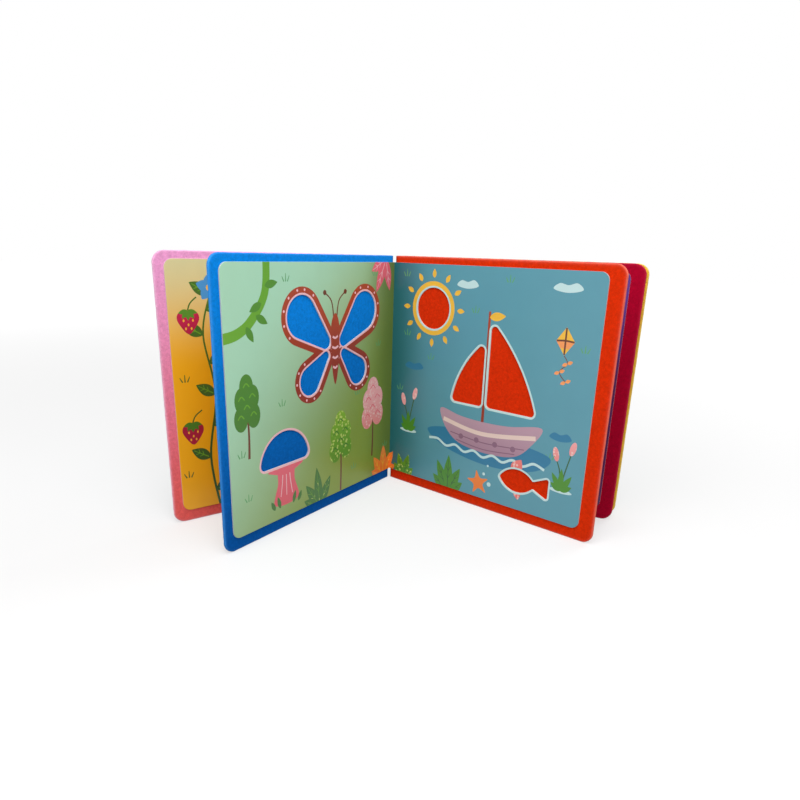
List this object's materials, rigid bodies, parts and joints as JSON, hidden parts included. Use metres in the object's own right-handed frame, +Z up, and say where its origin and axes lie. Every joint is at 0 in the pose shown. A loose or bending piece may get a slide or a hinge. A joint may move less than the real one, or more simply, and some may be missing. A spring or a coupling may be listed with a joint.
{
  "type": "board book",
  "caption": "Touch-and-feel board book standing open in a V: thick felt leaves with printed cards on each face, die-cut windows and covers that swing at the spine.",
  "frame": {"origin": "on the floor under the middle of the open book's bounding box", "axes": "+Z up, +X across the open book from the front cover's side to the back cover's, +Y from the reader towards the spine and beyond"},
  "size_m": [0.3162, 0.159, 0.18],
  "materials": {
    "pink_felt": "soft needle felt",
    "blue_felt": "soft needle felt",
    "orange_felt": "soft needle felt",
    "crimson_felt": "soft needle felt",
    "yellow_felt": "soft needle felt",
    "amber_print": "gloss laminate",
    "meadow_print": "gloss laminate",
    "violet_print": "gloss laminate",
    "cream_print": "gloss laminate",
    "cover_print": "gloss laminate"
  },
  "bodies": {
    "pages": {"leaf_1_felt": "blue_felt", "leaf_2_felt": "orange_felt", "leaf_3_felt": "crimson_felt", "leaf_1_back_card": "amber_print", "centre_spread_card": "meadow_print", "third_spread_card": "violet_print", "leaf_3_back_card": "cream_print", "spine_card": "cover_print"},
    "front_cover": {"front_cover_felt": "pink_felt", "front_cover_inner_card": "amber_print", "front_cover_outer_card": "cover_print"},
    "back_cover": {"back_cover_felt": "yellow_felt", "back_cover_inner_card": "cream_print", "back_cover_outer_card": "cover_print"}
  },
  "joints": [
    {"name": "front_cover_hinge", "type": "hinge", "parent": "pages", "child": "front_cover", "pos_m": [-0.01651, 0.07163, 0], "axis": [0, 0, -1], "range_deg": [-18.5, 115.5]},
    {"name": "back_cover_hinge", "type": "hinge", "parent": "pages", "child": "back_cover", "pos_m": [-0.00879, 0.07612, 0], "axis": [0, 0, 1], "range_deg": [-1.5, 102.5]}
  ]
}
